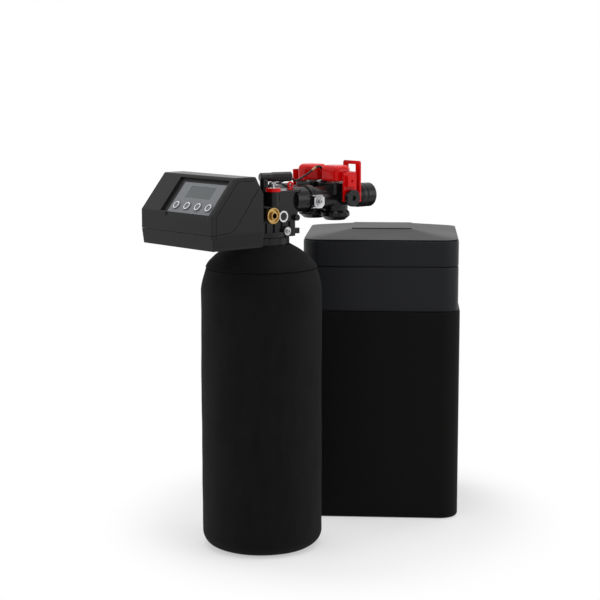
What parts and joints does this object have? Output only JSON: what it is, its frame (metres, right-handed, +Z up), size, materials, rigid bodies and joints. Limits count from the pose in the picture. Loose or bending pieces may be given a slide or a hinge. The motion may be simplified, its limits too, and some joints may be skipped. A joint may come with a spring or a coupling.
{
  "type": "water softener",
  "caption": "Water softener: jacketed resin tank with a metered control valve, display head and bypass, beside a lidded brine cabinet.",
  "frame": {"origin": "on the floor under the resin tank's vertical axis, at the middle of its foot", "axes": "+Z up; +X to the cabinet's side and +Y to its back, square with the cabinet; the display head looks 45 degrees to the left of the front, towards -X and -Y"},
  "size_m": [0.5624, 0.6819, 0.6879],
  "materials": {
    "tank_shell": "filament-wound shell with a satin resin coat",
    "foot_black": "moulded base",
    "jacket_cloth": "fine black knit over neoprene foam",
    "pipe_white": "natural white moulding",
    "gravel": "washed quartz gravel",
    "resin": "amber exchange resin beads",
    "valve_black": "glass-filled black moulding",
    "seal_grey": "moulded spacers and lip seals",
    "piston_metal": "turned and coated",
    "gear_white": "white acetal",
    "steel": "bright steel",
    "plate_grey": "dark grey moulding",
    "head_black": "satin black moulding",
    "overlay_grey": "printed grey film",
    "window_dark": "smoked display window",
    "button_grey": "grey key with a white ring",
    "board_green": "solder mask",
    "signal_red": "glossy red moulding",
    "brass": "machined brass",
    "plug_steel": "plated ring",
    "boot_tan": "tan moulded boot",
    "lead_black": "black cable jacket",
    "cabinet_black": "fine grained black",
    "collar_black": "satin black",
    "well_white": "light grey moulding",
    "float_blue": "blue float"
  },
  "bodies": {
    "softener": {"resin_tank": "tank_shell", "tank_foot": "foot_black", "seal_rings": "foot_black", "tank_jacket": "jacket_cloth", "riser_tube": "pipe_white", "distributors": "pipe_white", "gravel_bed": "gravel", "resin_bed": "resin", "valve_body": "valve_black", "valve_collar": "valve_black", "piston_plug": "valve_black", "bypass_body": "valve_black", "barrel_caps": "valve_black", "side_plugs": "valve_black", "port_adapters": "valve_black", "drain_elbow": "valve_black", "couplers": "valve_black", "lead_gland": "valve_black", "seal_stack": "seal_grey", "drive_motor": "steel", "washer_screws": "steel", "retainer_plates": "steel", "gear_plate": "plate_grey", "head_base": "head_black", "injector_ring": "signal_red", "drain_clip": "signal_red", "side_clips": "signal_red", "brine_fitting": "brass", "flow_plug": "plug_steel", "sensor_boot": "boot_tan", "sensor_lead": "lead_black", "cabinet_body": "cabinet_black", "cabinet_collar": "collar_black", "brine_well": "well_white", "salt_grid": "well_white", "brine_pickup": "well_white", "overflow_fitting": "well_white"},
    "cover": {"head_cover": "head_black", "display_overlay": "overlay_grey", "display_window": "window_dark", "circuit_board": "board_green"},
    "button_1": {"button_1": "button_grey"},
    "button_2": {"button_2": "button_grey"},
    "button_3": {"button_3": "button_grey"},
    "button_4": {"button_4": "button_grey"},
    "main_gear": {"main_gear": "gear_white"},
    "idler_gear": {"idler_gear": "gear_white"},
    "pinion": {"motor_pinion": "gear_white"},
    "piston": {"piston": "piston_metal"},
    "brine_stem": {"brine_valve_stem": "steel"},
    "valve_left": {"knob_left": "signal_red", "rotor_left": "gear_white"},
    "valve_right": {"knob_right": "signal_red", "rotor_right": "gear_white"},
    "clip_left": {"port_clip_left": "signal_red"},
    "clip_right": {"port_clip_right": "signal_red"},
    "turbine": {"meter_turbine": "gear_white"},
    "lid": {"cabinet_lid": "collar_black"},
    "well_cap": {"brine_well_cap": "well_white"},
    "float": {"brine_float": "float_blue"}
  },
  "joints": [
    {"name": "cover_lift", "type": "slide", "parent": "softener", "child": "cover", "axis": [0, 0, 1], "range_m": [0, 0.11]},
    {"name": "button_1_press", "type": "slide", "parent": "cover", "child": "button_1", "axis": [0.5443, 0.5443, -0.6383], "range_m": [0, 0.001], "stiffness_N_per_m": 300},
    {"name": "button_2_press", "type": "slide", "parent": "cover", "child": "button_2", "axis": [0.5443, 0.5443, -0.6383], "range_m": [0, 0.001], "stiffness_N_per_m": 300},
    {"name": "button_3_press", "type": "slide", "parent": "cover", "child": "button_3", "axis": [0.5443, 0.5443, -0.6383], "range_m": [0, 0.001], "stiffness_N_per_m": 300},
    {"name": "button_4_press", "type": "slide", "parent": "cover", "child": "button_4", "axis": [0.5443, 0.5443, -0.6383], "range_m": [0, 0.001], "stiffness_N_per_m": 300},
    {"name": "main_gear_spin", "type": "hinge", "parent": "softener", "child": "main_gear", "pos_m": [-0.09016, -0.09016, 0.5999], "axis": [-0.7071, -0.7071, 0], "range_deg": [-360, 600]},
    {"name": "idler_spin", "type": "hinge", "parent": "softener", "child": "idler_gear", "pos_m": [-0.05056, -0.12975, 0.5999], "axis": [-0.7071, -0.7071, 0], "range_deg": [-1085, 655]},
    {"name": "pinion_spin", "type": "hinge", "parent": "softener", "child": "pinion", "pos_m": [-0.05824, -0.12207, 0.62679], "axis": [-0.7071, -0.7071, 0], "range_deg": [-1450, 2410]},
    {"name": "piston_stroke", "type": "slide", "parent": "softener", "child": "piston", "axis": [-0.7071, -0.7071, 0], "range_m": [-0.0152, 0.0252]},
    {"name": "brine_stem_press", "type": "slide", "parent": "softener", "child": "brine_stem", "axis": [0, 0, -1], "range_m": [0, 0.003], "stiffness_N_per_m": 250},
    {"name": "bypass_left_turn", "type": "hinge", "parent": "softener", "child": "valve_left", "pos_m": [0.08485, 0.12728, 0.6499], "axis": [0, 0, 1], "range_deg": [-90, 0]},
    {"name": "bypass_right_turn", "type": "hinge", "parent": "softener", "child": "valve_right", "pos_m": [0.12728, 0.08485, 0.6499], "axis": [0, 0, 1], "range_deg": [-90, 0]},
    {"name": "clip_left_pull", "type": "slide", "parent": "softener", "child": "clip_left", "axis": [0, 0, 1], "range_m": [0, 0.05]},
    {"name": "clip_right_pull", "type": "slide", "parent": "softener", "child": "clip_right", "axis": [0, 0, 1], "range_m": [0, 0.05]},
    {"name": "turbine_spin", "type": "hinge", "parent": "softener", "child": "turbine", "pos_m": [0.08627, 0.04384, 0.6239], "axis": [0.7071, 0.7071, 0], "continuous": true},
    {"name": "lid_lift", "type": "slide", "parent": "softener", "child": "lid", "axis": [0, 0, 1], "range_m": [0, 0.05]},
    {"name": "well_cap_lift", "type": "slide", "parent": "softener", "child": "well_cap", "axis": [0, 0, 1], "range_m": [0, 0.05]},
    {"name": "float_rise", "type": "slide", "parent": "softener", "child": "float", "axis": [0, 0, 1], "range_m": [0, 0.035]}
  ],
  "couplings": [
    {"joint": "idler_spin", "follows": "main_gear_spin", "ratio": -1.8},
    {"joint": "pinion_spin", "follows": "main_gear_spin", "ratio": 4},
    {"joint": "piston_stroke", "follows": "main_gear_spin", "m_per_rad": 0.0023873}
  ]
}
